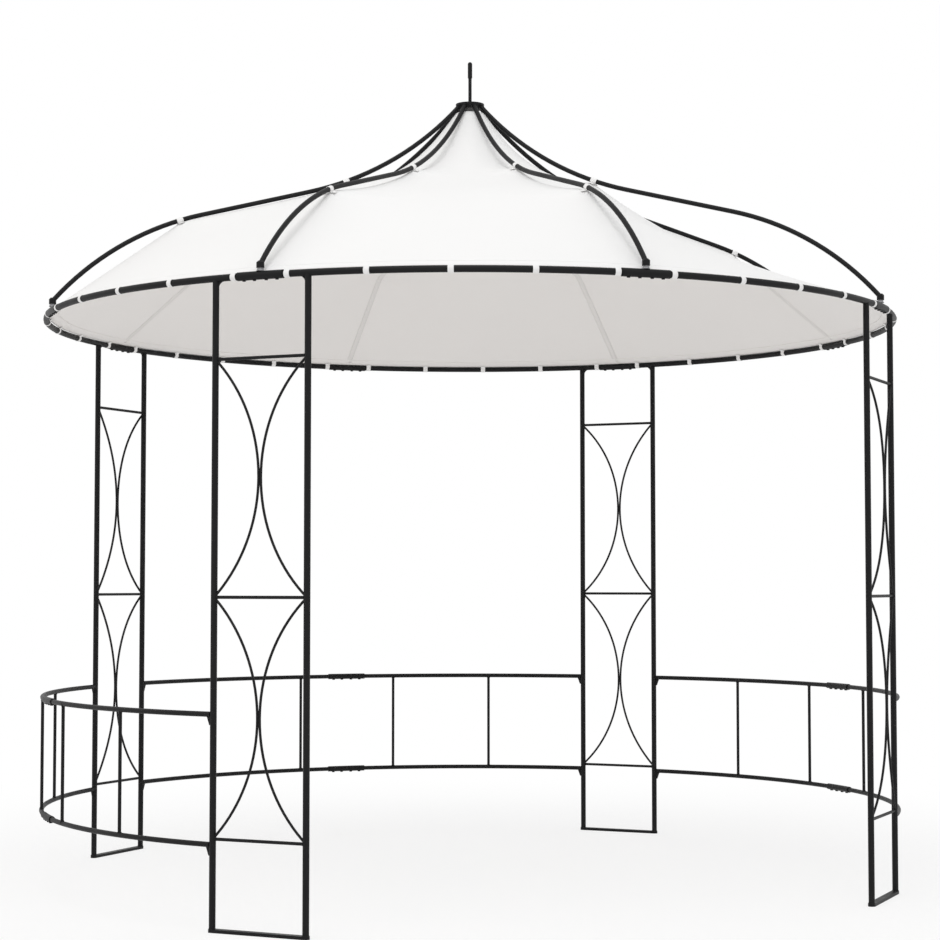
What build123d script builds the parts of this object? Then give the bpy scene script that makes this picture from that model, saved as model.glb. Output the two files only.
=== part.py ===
from build123d import *
from math import asin, atan2, cos, degrees, radians, sin
import os

# Round garden gazebo: four welded lattice pillars carry an eaves ring, eight
# bell-shaped ribs run from the ring up to a hub with a finial, three bays have
# a low railing, the front bay is open, and a canopy hangs under the ribs.
# Millimetres, +Z up, origin on the ground at the centre, entrance towards -Y.
# Azimuth 0 points to -Y and azimuth 90 to +X.

# Overall sizes, heights taken at bar centres
outer_diameter = 3000.0
ring_height = 1936.0
crown_rise = 810.0
finial_length = 154.0
bay_count = 4

# Fits shared by all pieces
clearance = 0.3
weld_lap = 1.5
cut_overrun = 5.0

# Eaves ring and the sleeves that join its segments, each with a pin for a rib
ring_tube_d = 21.0
ring_sleeve_d = 26.0
ring_sleeve_length = 155.0
rib_pin_d = 12.0
rib_neck_height = 9.0

# Lattice pillars
panel_width = 314.0
post_d = 20.0
cross_bar_d = 10.0
bow_bar_d = 8.0
top_bar_height = 1693.0
middle_bar_height = 985.0
low_bar_height = 273.0
foot_bar_width = 24.0
foot_bar_thickness = 10.0

# Post sockets under the ring, each with a gusset in its inner corner
gusset_size = 20.0
gusset_thickness = 6.0
post_socket_margin = 4.0

# Railings
top_rail_height = 639.0
low_rail_height = 256.0
rail_d = 16.0
baluster_d = 11.0
balusters_per_half = 2
rail_sleeve_d = 22.0
rail_sleeve_length = 155.0
hook_depth = 32.0
hook_width = 15.0
hook_tip_width = 3.0
hook_thickness = 6.0

# Ribs: turns in degrees away from the straight line between ring and crown
rib_d = 16.0
rib_foot_turn = 20.1
rib_middle_turn = -14.3
rib_top_turn = 18.6
eaves_bend_radius = 1010.0

# Upright cup on each rib's foot, which drops over the sleeve's pin
rib_cup_d = 24.0
rib_cup_height = 21.0
rib_cup_roof = 5.0
rib_cup_shoulder = 5.0

# Hub and finial
hub_d = 102.0
hub_rim_height = 7.0
hub_flank_margin = 1.0
finial_d = 12.0
finial_tip_d = 16.0
finial_tip_length = 60.0
finial_foot_d = 36.0
finial_foot_height = 9.0

# Canopy
fabric_thickness = 1.5
seam_gap = 0.6
neck_gap = 12.0
hem_gap = 1.0
hem_rise = 9.0
lower_tie_share = 0.13

# Places that follow from the sizes
ring_radius = outer_diameter / 2 - ring_sleeve_d / 2
hub_top = ring_height + crown_rise
bay_angle = 360.0 / bay_count
rib_angle = bay_angle / 2
rib_count = 2 * bay_count
post_angle = degrees(asin(panel_width / 2 / ring_radius))
panel_distance = ring_radius * cos(radians(post_angle))
joint_angle = degrees(clearance / ring_radius)
post_socket_length = ring_tube_d / 2 + gusset_size + post_socket_margin
post_top = ring_height - post_socket_length

# Names in order of azimuth, starting at the entrance
rib_names = ["front", "front_right", "right", "back_right", "back", "back_left", "left", "front_left"]
ring_names = [
    "front_right",
    "right_front",
    "right_back",
    "back_right",
    "back_left",
    "left_back",
    "left_front",
    "front_left",
]
pillar_names = ["front_right", "back_right", "back_left", "front_left"]
railing_names = [["right_front", "right_back"], ["back_right", "back_left"], ["left_back", "left_front"]]


def radial(azimuth):
    """Unit vector outwards at an azimuth."""
    return Vector(sin(radians(azimuth)), -cos(radians(azimuth)), 0)


def tangent(azimuth):
    """Unit vector towards growing azimuth."""
    return Vector(cos(radians(azimuth)), sin(radians(azimuth)), 0)


def upright_plane(azimuth):
    """Plane through the axis: x runs outwards at the azimuth, y runs up."""
    return Plane((0, 0, 0), x_dir=radial(azimuth), z_dir=-tangent(azimuth))


def facing_plane(azimuth, distance, height):
    """Plane square to the radius: x runs along the tangent, y up, z outwards."""
    origin = radial(azimuth) * distance + Vector(0, 0, height)
    return Plane(origin, x_dir=tangent(azimuth), z_dir=radial(azimuth))


def arc_bar(azimuth, sweep_angle, height, diameter, mode=Mode.ADD):
    """Round bar bent to the ring's radius, from an azimuth through an angle."""
    with BuildSketch(upright_plane(azimuth)) as section:
        with Locations((ring_radius, height)):
            Circle(diameter / 2)
    revolve(section.sketch, axis=Axis.Z, revolution_arc=sweep_angle, mode=mode)


def upright_bar(azimuth, low, high, diameter, mode=Mode.ADD):
    """Round vertical bar on the ring's circle."""
    with BuildSketch(Plane(radial(azimuth) * ring_radius + Vector(0, 0, low))) as section:
        Circle(diameter / 2)
    extrude(section.sketch, amount=high - low, mode=mode)


def save(piece, name):
    """Label a finished piece and write it to its own file."""
    piece.label = name
    export_step(piece, f"parts/{name}.step")


os.makedirs("parts", exist_ok=True)

# Rib line in the upright plane: eaves bend, straight run, bell-shaped bend.
# Slopes are below the horizontal, seen from the crown outwards.
crown_slope = degrees(atan2(crown_rise, ring_radius - hub_d / 2))
foot_slope = radians(crown_slope + rib_foot_turn)
middle_slope = radians(crown_slope + rib_middle_turn)
top_slope = radians(crown_slope + rib_top_turn)
cup_low = ring_height + ring_sleeve_d / 2 + rib_neck_height
pin_top = cup_low + rib_cup_height - rib_cup_roof - clearance
foot_x = ring_radius
foot_z = cup_low + rib_cup_height / 2
hub_flank = rib_d + 2 * hub_flank_margin
top_x = hub_d / 2 - hub_flank / 2 * sin(top_slope) + clearance * cos(top_slope)
top_z = hub_top - hub_rim_height - hub_flank / 2 * cos(top_slope) - clearance * sin(top_slope)

# The straight run and the bell's radius close the line between foot and top.
run_x = foot_x - top_x - eaves_bend_radius * (sin(foot_slope) - sin(middle_slope))
run_z = top_z - foot_z - eaves_bend_radius * (cos(middle_slope) - cos(foot_slope))
bell_x = sin(top_slope) - sin(middle_slope)
bell_z = cos(middle_slope) - cos(top_slope)
spread = cos(middle_slope) * bell_z - bell_x * sin(middle_slope)
straight_run = (run_x * bell_z - bell_x * run_z) / spread
bell_radius = (cos(middle_slope) * run_z - sin(middle_slope) * run_x) / spread


def rib_line(drop, neck, eaves_share):
    """Line parallel to the rib, drop below it: returns its two ends.

    It starts a neck length from the hub and takes a share of the eaves bend.
    """
    turn = neck / bell_radius
    start_slope = top_slope - turn
    centre_x = top_x + bell_radius * sin(top_slope)
    centre_z = top_z + bell_radius * cos(top_slope)
    radius = bell_radius + drop
    start = (centre_x - radius * sin(start_slope), centre_z - radius * cos(start_slope))
    heading = (cos(start_slope), -sin(start_slope))
    bell = JernArc(start, heading, radius, degrees(start_slope - middle_slope))
    run = Line(bell @ 1, bell @ 1 + (bell % 1) * straight_run)
    eaves_turn = -degrees(foot_slope - middle_slope) * eaves_share
    eaves = JernArc(run @ 1, run % 1, eaves_bend_radius - drop, eaves_turn)
    return bell @ 0, eaves @ 1


# Lattice pillars: two posts, three cross bars and facing bows, on a flat foot.
for index, name in enumerate(pillar_names):
    azimuth = (index + 1 / 2) * bay_angle
    panel = facing_plane(azimuth, panel_distance, 0)
    bow_end = panel_width / 2
    bow_crest = bow_bar_d / 2 - weld_lap / 2
    with BuildPart() as pillar:
        with BuildSketch(Plane(panel.origin, x_dir=panel.x_dir)):
            SlotCenterToCenter(panel_width, foot_bar_width)
        extrude(amount=foot_bar_thickness)
        for side in (-1, 1):
            upright_bar(azimuth + side * post_angle, 0, post_top, post_d)
        for height in (top_bar_height, middle_bar_height, low_bar_height):
            bar_end = panel.from_local_coords(Vector(-panel_width / 2, height, 0))
            with BuildSketch(Plane(bar_end, z_dir=panel.x_dir)):
                Circle(cross_bar_d / 2)
            extrude(amount=panel_width)
        cells = ((top_bar_height, middle_bar_height), (middle_bar_height, low_bar_height))
        for high, low in cells:
            for side in (-1, 1):
                with BuildLine(panel) as bow:
                    crest = (side * bow_crest, (high + low) / 2)
                    ThreePointArc((side * bow_end, high), crest, (side * bow_end, low))
                with BuildSketch(Plane(bow.line @ 0, z_dir=bow.line % 0)):
                    Circle(bow_bar_d / 2)
                sweep(path=bow.line)
    save(pillar.part, f"pillar_{name}")

# Eaves ring: one segment between each two ribs, with a socket for its post.
for index, name in enumerate(ring_names):
    start = index * rib_angle
    ends_at_pillar = index % 2 == 0
    pillar_azimuth = start + rib_angle if ends_at_pillar else start
    inward = 1 if ends_at_pillar else -1
    post_azimuth = pillar_azimuth - inward * post_angle
    post_place = radial(post_azimuth) * ring_radius + Vector(0, 0, ring_height)
    with BuildPart() as ring:
        arc_bar(start + joint_angle, rib_angle - 2 * joint_angle, ring_height, ring_tube_d)
        upright_bar(post_azimuth, post_top, ring_height, post_d)
        with BuildSketch(Plane(post_place, x_dir=tangent(pillar_azimuth), z_dir=radial(pillar_azimuth))):
            with BuildLine():
                reach = post_d / 2 + gusset_size
                depth = ring_tube_d / 2 + gusset_size
                ring_side = (inward * reach, weld_lap - ring_tube_d / 2)
                post_side = (inward * (post_d / 2 - weld_lap), -depth)
                hollow = RadiusArc(ring_side, post_side, -inward * (gusset_size + weld_lap))
                Polyline(hollow @ 1, (0, -depth), (0, 0), (inward * reach, 0), hollow @ 0)
            make_face()
        extrude(amount=gusset_thickness / 2, both=True)
    save(ring.part, f"ring_{name}")

# Sleeves over the ring's joints, each with an upright pin for a rib foot.
ring_sleeve_angle = degrees(ring_sleeve_length / ring_radius)
bore_angle = ring_sleeve_angle + degrees(2 * cut_overrun / ring_radius)
with BuildPart() as ring_sleeves:
    for index in range(rib_count):
        azimuth = index * rib_angle
        arc_bar(azimuth - ring_sleeve_angle / 2, ring_sleeve_angle, ring_height, ring_sleeve_d)
        upright_bar(azimuth, ring_height, pin_top, rib_pin_d)
        bore_d = ring_tube_d + 2 * clearance
        arc_bar(azimuth - bore_angle / 2, bore_angle, ring_height, bore_d, mode=Mode.SUBTRACT)
save(ring_sleeves.part, "ring_sleeves")

# Ribs from their cups over the ring's pins up to the hub.
for index, name in enumerate(rib_names):
    azimuth = index * rib_angle
    with BuildPart() as rib:
        upright_bar(azimuth, cup_low, cup_low + rib_cup_height, rib_cup_d)
        chamfer(rib.edges().group_by(Axis.Z)[-1], rib_cup_shoulder)
        with BuildLine(upright_plane(azimuth)) as centre_line:
            rib_line(0, 0, 1)
        path = centre_line.wire()
        with BuildSketch(Plane(path @ 0, z_dir=path % 0)):
            Circle(rib_d / 2)
        sweep(path=path)
        upright_bar(azimuth, cup_low, pin_top + clearance, rib_pin_d + 2 * clearance, mode=Mode.SUBTRACT)
    save(rib.part, f"rib_{name}")

# Hub: a turned disc whose flank lies square to the ribs' top ends.
with BuildPart() as hub:
    with BuildSketch(upright_plane(0)):
        with BuildLine():
            rim_low = hub_top - hub_rim_height
            flank_x = hub_d / 2 - hub_flank * sin(top_slope)
            flank_z = rim_low - hub_flank * cos(top_slope)
            Polyline(
                (0, hub_top),
                (hub_d / 2, hub_top),
                (hub_d / 2, rim_low),
                (flank_x, flank_z),
                (0, flank_z),
                close=True,
            )
        make_face()
    revolve(axis=Axis.Z)
save(hub.part, "hub")

# Finial: a rod on a coned foot, with a thicker tip that ends in a dome.
with BuildPart() as finial:
    with BuildSketch(upright_plane(0)):
        with BuildLine():
            finial_top = hub_top + finial_length
            tip_low = finial_top - finial_tip_length
            sides = Polyline(
                (0, hub_top),
                (finial_foot_d / 2, hub_top),
                (finial_d / 2, hub_top + finial_foot_height),
                (finial_d / 2, tip_low),
                (finial_tip_d / 2, tip_low + (finial_tip_d - finial_d) / 2),
                (finial_tip_d / 2, finial_top - finial_tip_d / 2),
            )
            dome = JernArc(sides @ 1, (0, 1), finial_tip_d / 2, 90)
            Line(dome @ 1, sides @ 0)
        make_face()
    revolve(axis=Axis.Z)
save(finial.part, "finial")

# Railings: two welded halves in each closed bay, hooked to the posts.
half_bay = bay_angle / 2 - post_angle
baluster_step = half_bay / (balusters_per_half + 1 / 2)
rail_end = half_bay - degrees((post_d / 2 + clearance) / ring_radius)
for bay, names in enumerate(railing_names):
    middle = (bay + 1) * bay_angle
    for side, name in zip((-1, 1), names):
        low_end = middle + joint_angle if side > 0 else middle - rail_end
        end_azimuth = middle + side * rail_end
        with BuildPart() as railing:
            for height in (top_rail_height, low_rail_height):
                arc_bar(low_end, rail_end - joint_angle, height, rail_d)
                with BuildSketch(facing_plane(end_azimuth, ring_radius, height)):
                    with BuildLine():
                        Polyline(
                            (0, 0),
                            (-side * hook_width, 0),
                            (-side * hook_tip_width, -hook_depth),
                            (0, -hook_depth),
                            close=True,
                        )
                    make_face()
                extrude(amount=hook_thickness / 2, both=True)
            for step in range(balusters_per_half):
                azimuth = middle + side * (step + 1 / 2) * baluster_step
                upright_bar(azimuth, low_rail_height, top_rail_height, baluster_d)
        save(railing.part, f"railing_{name}")

# Sleeves over the joint in the middle of each rail.
rail_sleeve_angle = degrees(rail_sleeve_length / ring_radius)
rail_bore_angle = rail_sleeve_angle + degrees(2 * cut_overrun / ring_radius)
with BuildPart() as rail_sleeves:
    for bay in range(len(railing_names)):
        middle = (bay + 1) * bay_angle
        for height in (top_rail_height, low_rail_height):
            bore_d = rail_d + 2 * clearance
            arc_bar(middle - rail_sleeve_angle / 2, rail_sleeve_angle, height, rail_sleeve_d)
            arc_bar(middle - rail_bore_angle / 2, rail_bore_angle, height, bore_d, mode=Mode.SUBTRACT)
save(rail_sleeves.part, "railing_sleeves")

# Canopy: gores straight from rib to rib, drawn out to the ring at the hem.
top_drop = rib_d / 2 + clearance
under_drop = top_drop + fabric_thickness
hem_radius = ring_radius - ring_sleeve_d / 2 - hem_gap
hem_height = ring_height + hem_rise
half_gore = radians(rib_angle / 2)
gores = []
for index in range(rib_count):
    azimuth = index * rib_angle
    middle = azimuth + rib_angle / 2
    with BuildPart() as gore:
        with BuildSketch(upright_plane(azimuth)):
            with BuildLine():
                neck_top, tie_top = rib_line(top_drop, neck_gap, lower_tie_share)
                neck_under, tie_under = rib_line(under_drop, neck_gap, lower_tie_share)
                Line(neck_top, neck_under)
                Line(tie_top, tie_under)
            make_face()
        extrude(amount=2 * ring_radius, dir=tangent(middle))
        split(bisect_by=upright_plane(azimuth + rib_angle), keep=Keep.TOP)
        tie_middle = radial(middle) * tie_top.X * cos(half_gore) + Vector(0, 0, tie_top.Y)
        fall = radial(middle) * (tie_under.X - tie_top.X) * cos(half_gore) + Vector(0, 0, tie_under.Y - tie_top.Y)
        tie_plane = Plane(tie_middle, x_dir=tangent(middle), z_dir=tangent(middle).cross(fall))
        with BuildSketch(tie_plane):
            with BuildLine():
                top_half = tie_top.X * sin(half_gore)
                under_half = tie_under.X * sin(half_gore)
                Polyline(
                    (-top_half, 0),
                    (top_half, 0),
                    (under_half, fall.length),
                    (-under_half, fall.length),
                    close=True,
                )
            make_face()
        hem_fall = atan2(tie_top.Y - hem_height, hem_radius - tie_top.X)
        hem_inner = hem_radius - fabric_thickness / sin(hem_fall)
        with BuildSketch(Plane.XY.offset(hem_height)):
            with BuildLine():
                outer = CenterArc((0, 0), hem_radius, azimuth - 90, rib_angle)
                inner = CenterArc((0, 0), hem_inner, azimuth - 90, rib_angle)
                Line(outer @ 0, inner @ 0)
                Line(outer @ 1, inner @ 1)
            make_face()
        loft(ruled=True)
        split(bisect_by=upright_plane(azimuth).offset(-seam_gap / 2), keep=Keep.BOTTOM)
        split(bisect_by=upright_plane(azimuth + rib_angle).offset(seam_gap / 2), keep=Keep.TOP)
    gores.append(gore.part)
canopy = Compound(children=gores)
save(canopy, "canopy")
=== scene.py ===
from math import asin, atan2, cos, degrees, exp, pi, radians, sin, tan

import bmesh
import bpy
from bpy.props import FloatProperty, FloatVectorProperty, IntProperty, PointerProperty
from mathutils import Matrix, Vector, noise


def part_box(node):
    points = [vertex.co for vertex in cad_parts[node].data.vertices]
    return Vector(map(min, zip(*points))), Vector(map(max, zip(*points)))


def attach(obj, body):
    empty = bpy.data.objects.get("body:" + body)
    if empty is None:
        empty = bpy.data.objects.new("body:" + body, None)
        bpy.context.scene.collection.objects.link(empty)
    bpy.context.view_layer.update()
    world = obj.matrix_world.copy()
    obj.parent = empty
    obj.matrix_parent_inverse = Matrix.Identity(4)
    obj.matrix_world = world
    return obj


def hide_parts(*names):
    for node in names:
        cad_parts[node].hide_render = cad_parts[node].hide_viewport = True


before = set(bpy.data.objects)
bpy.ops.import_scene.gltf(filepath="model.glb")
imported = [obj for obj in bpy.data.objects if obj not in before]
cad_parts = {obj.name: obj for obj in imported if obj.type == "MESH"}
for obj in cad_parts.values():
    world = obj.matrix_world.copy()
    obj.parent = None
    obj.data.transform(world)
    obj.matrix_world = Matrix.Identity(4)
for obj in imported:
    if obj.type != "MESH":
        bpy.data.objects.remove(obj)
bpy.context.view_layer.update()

bl_info = {
    "name": "Round Garden Gazebo",
    "version": (1, 0, 0),
    "blender": (4, 5, 0),
    "location": "View3D > Sidebar > Gazebo",
    "description": "Finishes, canopy, ties and fixings of a round garden gazebo with bell-shaped ribs",
    "category": "Object",
}

# Metres and degrees. Azimuth 0 points to -Y, the entrance, and azimuth 90 to +X.
UP = Vector((0.0, 0.0, 1.0))

# Sizes of the frame that its node boxes don't give
CLEARANCE = 0.0003
RING_TUBE_RADIUS = 0.0105
RIB_RADIUS = 0.008
RIB_CUP_HEIGHT = 0.021
HUB_RIM_HEIGHT = 0.007
HUB_FLANK_MARGIN = 0.001
EAVES_BEND_RADIUS = 1.010
RIB_FOOT_TURN = 20.1
RIB_MIDDLE_TURN = -14.3
RIB_TOP_TURN = 18.6
POST_RADIUS = 0.010
CROSS_BAR_RADIUS = 0.005
BOW_RADIUS = 0.004
BALUSTER_RADIUS = 0.0055
RAIL_RADIUS = 0.008
RAIL_SLEEVE_RADIUS = 0.011
CROSS_BAR_HEIGHTS = (1.693, 0.985, 0.273)
RAIL_HEIGHTS = (0.639, 0.256)
PANEL_WIDTH = 0.314
FOOT_BAR_WIDTH = 0.024
FOOT_BAR_THICKNESS = 0.010

# Counts and azimuths round the plan
BAYS = 4
RIBS = 8
GORE_ANGLE = 360.0 / RIBS
HALF_GORE = radians(GORE_ANGLE / 2)
RIB_AZIMUTHS = [rib * GORE_ANGLE for rib in range(RIBS)]
PILLAR_AZIMUTHS = [(bay + 0.5) * 360.0 / BAYS for bay in range(BAYS)]
RAILED_BAYS = (90.0, 180.0, 270.0)
BALUSTERS_PER_HALF = 2

# Each pillar, and how far its bows bulge out from the posts' plane at their crests
BOW_BULGES = {"front_right": 0.016, "back_right": 0.016, "back_left": 0.015, "front_left": 0.006}

# Fineness: steps along half a bow and round a foot's end, the bars' roundness, halvings of a search
BOW_STEPS = 18
FOOT_END_STEPS = 10
BAR_ROUNDNESS = 9
HALVINGS = 40

# Places read from the frame
RING_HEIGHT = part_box("ring_front_right")[1].z - RING_TUBE_RADIUS
SLEEVE_RADIUS = RING_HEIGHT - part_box("ring_sleeves")[0].z
RING_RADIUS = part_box("ring_sleeves")[1].x - SLEEVE_RADIUS
RIB_CUP_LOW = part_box("rib_front")[0].z
RIB_CUP_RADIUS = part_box("rib_front")[1].x
HUB_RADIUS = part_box("hub")[1].x
HUB_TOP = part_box("hub")[1].z
POST_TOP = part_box("pillar_front_right")[1].z
POST_ANGLE = degrees(asin(PANEL_WIDTH / 2 / RING_RADIUS))
PANEL_DISTANCE = RING_RADIUS * cos(radians(POST_ANGLE))

# The cover's edge: its hem inside the ring's centre line and above it, and its gap to the hub
HEM_INSET = 0.0070
HEM_RISE = 0.0112
NECK_GAP = 0.022
HEM_RADIUS = RING_RADIUS - HEM_INSET
HEM_HEIGHT = RING_HEIGHT + HEM_RISE

# The cover's ties: azimuths in each eighth of the ring, and places on the ribs
RING_TIE_ANGLES = (3.5, 13.0, 22.5, 32.0, 41.5)
UPPER_TIE_RADII = (0.452, 0.477, 0.460, 0.455, 0.462, 0.458, 0.465, 0.466)
LOWER_TIE_SHARE = 0.13

# The seam without a lower tie, and each seam's share of the hang between its ties
SLACK_SEAM = 1
HANG_SHARES = (0.9, 1.0, 0.1, 1.0, 0.8, 0.9, 0.15, 0.75)

# Hang of the gores: lengths over which their middles fall and rise again, and round the bend at
# the lower ties, and powers that lean or flatten the curves
NECK_FALL = 0.10
TIE_RISE = 0.11
BEND_WINDOW = 0.24
NECK_LEAN = 1.2
SLACK_LEAN = 0.88
GORE_FLATNESS = 1.4

# Folds at the rib ties: their reach, how many reaches they run, their count and turn by seam
FOLD_REACH = 0.034
FOLD_END = 5
FOLD_COUNT = 6
FOLD_TURN = 1.7

# Scallops of the hem between the ring ties, ripples above them, and slow drift of the gores
SCALLOP_DEPTH = 0.20
SCALLOP_RISE = 0.25
SCALLOP_FADE = 0.11
RIPPLE_HEIGHT = 0.0022
RIPPLE_FADE = 0.2
DRIFT_HEIGHT = 0.004
DRIFT_SCALE = 2.6

# Cloth meshes: crowding of columns at the seams, faces of the hem, step and least radius for normals
SEAM_CROWDING = 0.11
HEM_COLUMNS = 720
HEM_ROWS = 6
NORMAL_STEP = 0.004
LEAST_RADIUS = 0.05

# Seam tapes: start below the neck, end as a share of the hem, gap to the cloth, places across.
# The hem's skin stands off the cloth by a share of the tape's thickness.
SEAM_TAPE_START = 0.030
SEAM_TAPE_END = 0.4
SEAM_TAPE_GAP = 0.0003
SEAM_TAPE_PLACES = (-1.0, -0.5, 0.0, 0.5, 1.0)
HEM_SKIN = 0.75

# Stitches: places as shares of the seam's and the hem's width, steps down a seam, and thread
SEAM_STITCH_PLACE = 0.36
HEM_STITCH_PLACES = (0.22, 0.82)
STITCH_STEPS = 120
STITCH_END_STEPS = 4
STITCH_SHARE = 0.72
THREAD_WIDTH = 0.0011
STITCH_DEPTH = 0.0038

# Ring ties: where the tail leaves the loop and ends on the hem, its gap to the cloth in tapes, and
# the rounding of a tape's edges
TAIL_LEAVES = radians(-40.0)
TAIL_END = 0.35
TAIL_GAP = 1.25
TAPE_ROUNDING = 0.45

# Rib ties: width and half length of the tab in tape widths, fall of its ends, lift of its middle
RIB_TAPE_WIDTH = 1.25
TAB_REACH = 1.2
TAB_FALL = 0.0028
TAB_LIFT = 0.0034

# Fixings: places of the set screws along a sleeve, their seat and flange, tapers, the nuts' turn
SCREW_PLACES = (-0.056, -0.020, 0.020, 0.056)
SCREW_SINK = 0.0004
SCREW_FLANGE = 0.62
SCREW_FLANGE_THICKNESS = 0.0008
HEAD_TAPER = 0.94
FLANGE_TAPER = 0.95
NUT_TURN = 12.0

# Finishes: darkest and lightest factor on a colour, and range of roughness
COAT_SHADES = (0.75, 1.5)
COAT_ROUGHNESS_SPREAD = (-0.06, 0.08)
ZINC_SHADES = (0.8, 1.1)
ZINC_ROUGHNESS = (0.34, 0.52)
CLOTH_SHADES = (0.965, 1.02)
CLOTH_ROUGHNESS = (0.78, 0.92)

# Each cloth: the setting that holds its colour, a factor on it, threads per metre, contrast, bump.
# Seam tape lies over a second layer of cloth. Its factor darkens it a little as painted shade, for the light
# that two layers let through less.
CLOTHS = {
    "canopy_polyester": ("cloth_colour", 1.0, 950.0, 0.05, 0.25),
    "canopy_lining": ("lining_colour", 1.0, 950.0, 0.03, 0.12),
    # The 0.93 here is painted shade on the seam tape, not a darker tape
    "seam_tape": ("lining_colour", 0.93, 700.0, 0.06, 0.3),
    "tie_tape": ("tape_colour", 1.0, 700.0, 0.09, 0.4),
}

# Stage: lamps, the floor's size, and how it fades to white away from the gazebo
WHITE = (1.0, 1.0, 1.0)
KEY_PLACE = (-2.5, -4.3, 9.2)
KEY_SIZE = 6.0
SIDE_PLACE = (-7.0, 1.0, 4.5)
SIDE_SIZE = 4.0
SIDE_COLOUR = (1.0, 0.80, 0.58)
FLOOR_SIZE = 40.0
FLOOR_FADE = {"From Min": 1.2, "From Max": 4.0, "To Min": 0.72, "To Max": 1.0}
SENSOR_WIDTH = 36.0


def radial(azimuth):
    """Unit vector outwards at an azimuth."""
    return Vector((sin(radians(azimuth)), -cos(radians(azimuth)), 0.0))


def tangent(azimuth):
    """Unit vector towards growing azimuth."""
    return Vector((cos(radians(azimuth)), sin(radians(azimuth)), 0.0))


def polar(azimuth, radius, height):
    """Point at an azimuth, a distance from the axis and a height."""
    return radial(azimuth) * radius + UP * height


class RibLine:
    """The ribs' centre line in an upright plane: bell bend, straight run, eaves bend."""

    def __init__(self):
        crown = degrees(atan2(HUB_TOP - RING_HEIGHT, RING_RADIUS - HUB_RADIUS))
        self.foot = radians(crown + RIB_FOOT_TURN)
        self.middle = radians(crown + RIB_MIDDLE_TURN)
        self.top = radians(crown + RIB_TOP_TURN)
        flank = RIB_RADIUS + HUB_FLANK_MARGIN
        self.top_x = HUB_RADIUS - flank * sin(self.top) + CLEARANCE * cos(self.top)
        self.top_z = HUB_TOP - HUB_RIM_HEIGHT - flank * cos(self.top) - CLEARANCE * sin(self.top)
        foot_z = RIB_CUP_LOW + RIB_CUP_HEIGHT / 2
        run_x = RING_RADIUS - self.top_x - EAVES_BEND_RADIUS * (sin(self.foot) - sin(self.middle))
        run_z = self.top_z - foot_z - EAVES_BEND_RADIUS * (cos(self.middle) - cos(self.foot))
        bell_x = sin(self.top) - sin(self.middle)
        bell_z = cos(self.middle) - cos(self.top)
        spread = cos(self.middle) * bell_z - bell_x * sin(self.middle)
        self.run = (run_x * bell_z - bell_x * run_z) / spread
        self.bell_radius = (cos(self.middle) * run_z - sin(self.middle) * run_x) / spread
        self.bell = self.bell_radius * (self.top - self.middle)
        self.eaves = EAVES_BEND_RADIUS * (self.foot - self.middle)

    def at(self, distance):
        """Radius, height and downward slope at a distance along the line from the hub."""
        slope = max(self.middle, self.top - distance / self.bell_radius)
        x = self.top_x + self.bell_radius * (sin(self.top) - sin(slope))
        z = self.top_z + self.bell_radius * (cos(self.top) - cos(slope))
        straight = min(self.run, max(0.0, distance - self.bell))
        x += straight * cos(slope)
        z -= straight * sin(slope)
        bent = max(0.0, distance - self.bell - self.run) / EAVES_BEND_RADIUS
        x += EAVES_BEND_RADIUS * (sin(slope + bent) - sin(slope))
        z -= EAVES_BEND_RADIUS * (cos(slope) - cos(slope + bent))
        return x, z, slope + bent

    def below(self, distance, drop):
        """Radius and height at a distance along the line, a drop under it."""
        x, z, slope = self.at(distance)
        return Vector((x - drop * sin(slope), z - drop * cos(slope)))

    def where(self, radius):
        """Distance along the line at which it reaches a radius."""
        low, high = 0.0, self.bell + self.run + self.eaves
        for _ in range(HALVINGS):
            middle = (low + high) / 2
            if self.at(middle)[0] < radius:
                low = middle
            else:
                high = middle
        return low

    def on_rib(self, rib, distance):
        """Point on a rib's centre line, with its way down the rib and its way out of the roof."""
        x, z, slope = self.at(distance)
        outward = radial(RIB_AZIMUTHS[rib])
        along = outward * cos(slope) - UP * sin(slope)
        return outward * x + UP * z, along, outward * sin(slope) + UP * cos(slope)


rib_line = RibLine()
UPPER_TIES = [rib_line.where(radius) for radius in UPPER_TIE_RADII]
LOWER_TIE = rib_line.bell + rib_line.run + rib_line.eaves * LOWER_TIE_SHARE
CLOTH_DROP = RIB_RADIUS + CLEARANCE

# Distances down the cover are measured from its neck
HEM_POINT = Vector((HEM_RADIUS, HEM_HEIGHT))
TIE_REACH = LOWER_TIE - NECK_GAP
UPPER_REACHES = [distance - NECK_GAP for distance in UPPER_TIES]
CLOTH_REACH = TIE_REACH + (HEM_POINT - rib_line.below(LOWER_TIE, CLOTH_DROP)).length


def colour_prop(name, description, default):
    """Setting for a colour."""
    return FloatVectorProperty(
        name=name, description=description, subtype="COLOR", min=0.0, max=1.0, default=default
    )


def length_prop(name, description, default):
    """Setting for a length in metres."""
    return FloatProperty(name=name, description=description, unit="LENGTH", default=default)


class GazeboFrameSettings(bpy.types.PropertyGroup):
    """Finish of the steel frame and its fixings."""

    coat_colour: colour_prop("Coat Colour", "Powder coat of the tubes and bars", (0.0105, 0.0105, 0.0111))
    coat_roughness: FloatProperty(
        name="Coat Roughness",
        description="How matt the powder coat is",
        subtype="FACTOR",
        min=0.0,
        max=1.0,
        default=0.46,
    )
    zinc_colour: colour_prop("Zinc Colour", "Plated nuts under the feet of the ribs", (0.30, 0.30, 0.31))
    screw_width: length_prop("Screw Width", "Width across the flats of the sleeves' set screws", 0.010)
    screw_height: length_prop("Screw Height", "Height of a set screw's head", 0.0024)
    nut_width: length_prop("Nut Width", "Width across the flats of the nuts on the rib pins", 0.019)
    washer_thickness: length_prop("Washer Thickness", "Thickness of the washer under each nut", 0.002)
    bead_radius: length_prop("Weld Bead Radius", "Radius of the weld beads round the bars' ends", 0.0016)


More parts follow.
